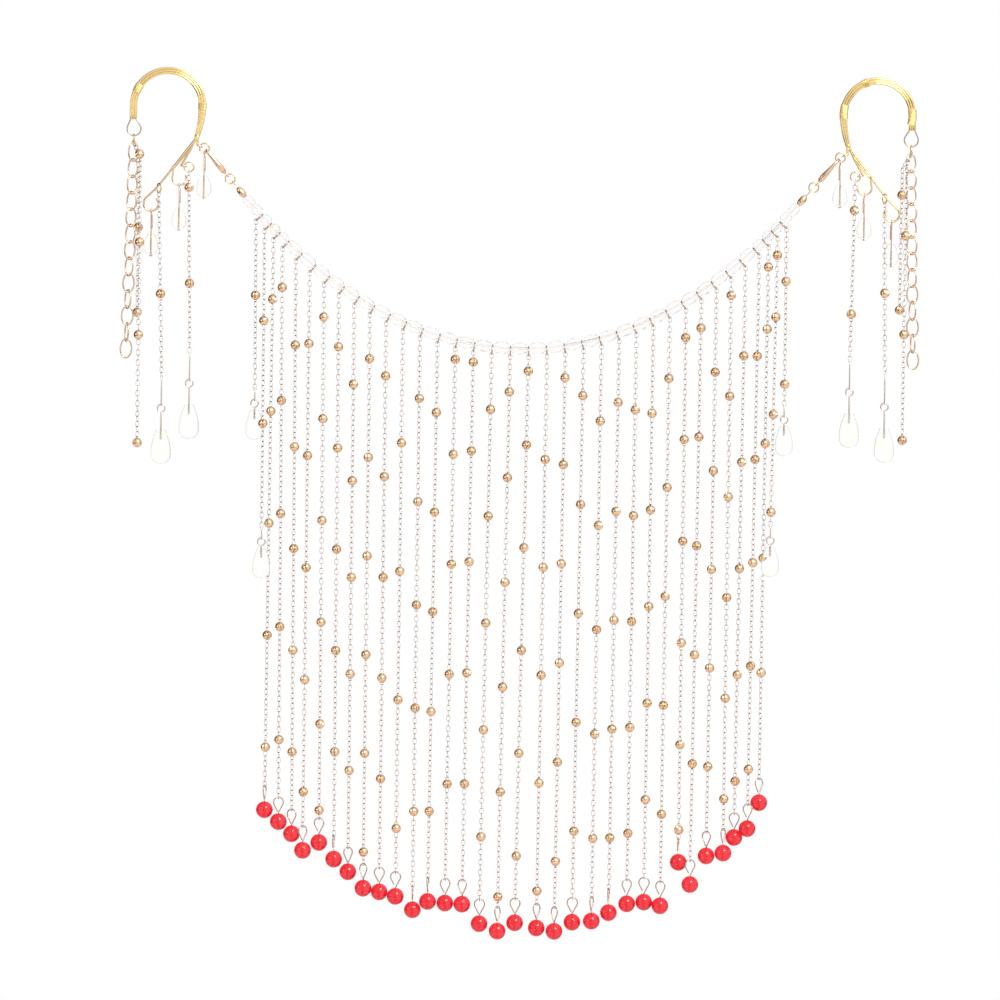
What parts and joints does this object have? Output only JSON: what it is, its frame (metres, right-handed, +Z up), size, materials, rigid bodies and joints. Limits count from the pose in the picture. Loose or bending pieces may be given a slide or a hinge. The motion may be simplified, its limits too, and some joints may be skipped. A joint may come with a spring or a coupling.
{
  "type": "ear-hung bead and chain veil",
  "caption": "Decorative veil of fine ball chains that hang from a swag of clear beads between two wire ear hooks, each with drops in front and chains behind the ear.",
  "frame": {"origin": "where the left hook's crown rests on the ear, under its middle", "axes": "+Z up, the front of the veil faces -Y, the right hook lies towards +X"},
  "size_m": [0.2873, 0.0125, 0.3124],
  "materials": {
    "gold_wire": "polished bright gold plate",
    "fine_chain": "polished pale rose gold plate",
    "rose_links": "polished rose gold plate",
    "clasp_metal": "cast and polished pale gold plate",
    "clear_thread": "clear beading thread",
    "clear_crystal": "polished clear glass with a faint iridescent coat",
    "red_bead": "glossy translucent red"
  },
  "bodies": {
    "root": {"ear_hook_left": "gold_wire", "ear_hook_right": "gold_wire", "clasp_left": "clasp_metal", "clasp_right": "clasp_metal", "joining_rings": "gold_wire", "crimp_tips": "gold_wire", "swag_thread": "clear_thread", "crystal_beads": "clear_crystal", "swag_rings": "gold_wire", "eye_pins": "fine_chain", "red_beads": "red_bead", "clear_drops": "clear_crystal", "front_strands_left": "fine_chain", "front_strands_right": "fine_chain", "back_strands_left": "fine_chain", "back_strands_right": "fine_chain", "extender_left": "rose_links", "extender_right": "rose_links", "short_drop_pins": "fine_chain", "small_drops": "clear_crystal", "strand_01": "fine_chain", "strand_02": "fine_chain", "strand_03": "fine_chain", "strand_04": "fine_chain", "strand_05": "fine_chain", "strand_06": "fine_chain", "strand_07": "fine_chain", "strand_08": "fine_chain", "strand_09": "fine_chain", "strand_10": "fine_chain", "strand_11": "fine_chain", "strand_12": "fine_chain", "strand_13": "fine_chain", "strand_14": "fine_chain", "strand_15": "fine_chain", "strand_16": "fine_chain", "strand_17": "fine_chain", "strand_18": "fine_chain", "strand_19": "fine_chain", "strand_20": "fine_chain", "strand_21": "fine_chain", "strand_22": "fine_chain", "strand_23": "fine_chain", "strand_24": "fine_chain", "strand_25": "fine_chain", "strand_26": "fine_chain", "strand_27": "fine_chain", "strand_28": "fine_chain", "strand_29": "fine_chain", "strand_30": "fine_chain", "strand_31": "fine_chain", "strand_32": "fine_chain", "strand_33": "fine_chain", "strand_34": "fine_chain", "strand_35": "fine_chain", "strand_36": "fine_chain"},
    "lever_left": {"lever_left": "clasp_metal"},
    "lever_right": {"lever_right": "clasp_metal"}
  },
  "joints": [
    {"name": "lever_left_hinge", "type": "hinge", "parent": "root", "child": "lever_left", "pos_m": [0.01951, 0.0011, -0.03362], "axis": [0.7554, 0, 0.6553], "range_deg": [0, 20], "stiffness_Nm_per_rad": 0.00002},
    {"name": "lever_right_hinge", "type": "hinge", "parent": "root", "child": "lever_right", "pos_m": [0.23613, 0.0011, -0.03362], "axis": [0.7554, 0, -0.6553], "range_deg": [0, 20], "stiffness_Nm_per_rad": 0.00002}
  ]
}
